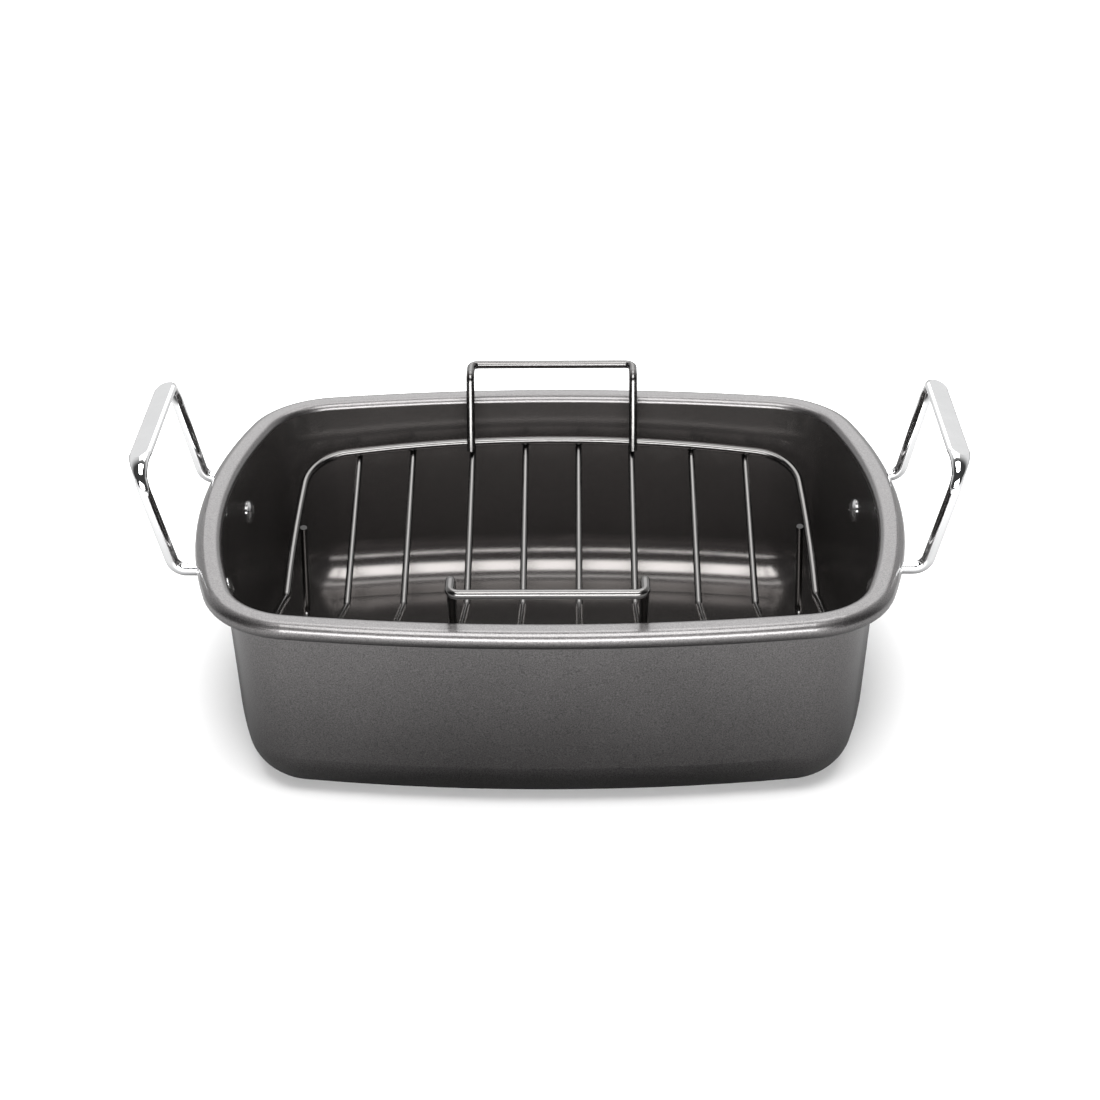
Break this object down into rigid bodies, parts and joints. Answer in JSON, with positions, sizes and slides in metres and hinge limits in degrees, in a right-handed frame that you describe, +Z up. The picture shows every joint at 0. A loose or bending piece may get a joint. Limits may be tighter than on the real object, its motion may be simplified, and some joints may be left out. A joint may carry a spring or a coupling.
{
  "type": "roasting pan with rack",
  "caption": "Deep rectangular roasting pan with bowed sides, rolled rim and two riveted loop handles, holding a lift-out V-shaped wire rack with feet and lifting handles.",
  "frame": {"origin": "centre of the pan's flat underside", "axes": "+X along the pan's length towards the right handle, +Y across the pan towards its back, +Z up"},
  "size_m": [0.4954, 0.3312, 0.1875],
  "materials": {
    "pan_nonstick": "satin gunmetal nonstick coating with fine grain",
    "handle_chrome": "polished chrome plate",
    "rivet_steel": "smooth bright steel",
    "rack_nonstick": "satin dark grey nonstick coating on round wire"
  },
  "bodies": {
    "pan": {"pan_body": "pan_nonstick", "left_handle": "handle_chrome", "right_handle": "handle_chrome", "handle_rivets": "rivet_steel"},
    "rack": {"rack_frame": "rack_nonstick", "rack_rib_1": "rack_nonstick", "rack_rib_2": "rack_nonstick", "rack_rib_3": "rack_nonstick", "rack_rib_4": "rack_nonstick", "rack_rib_5": "rack_nonstick", "rack_rib_6": "rack_nonstick", "rack_rib_7": "rack_nonstick", "rack_rib_8": "rack_nonstick", "rack_foot_left": "rack_nonstick", "rack_foot_right": "rack_nonstick", "rack_lift_handle_front": "rack_nonstick", "rack_lift_handle_back": "rack_nonstick"}
  },
  "joints": [
    {"name": "rack_lift", "type": "slide", "parent": "pan", "child": "rack", "axis": [0, 0, 1], "range_m": [0, 0.16]}
  ]
}
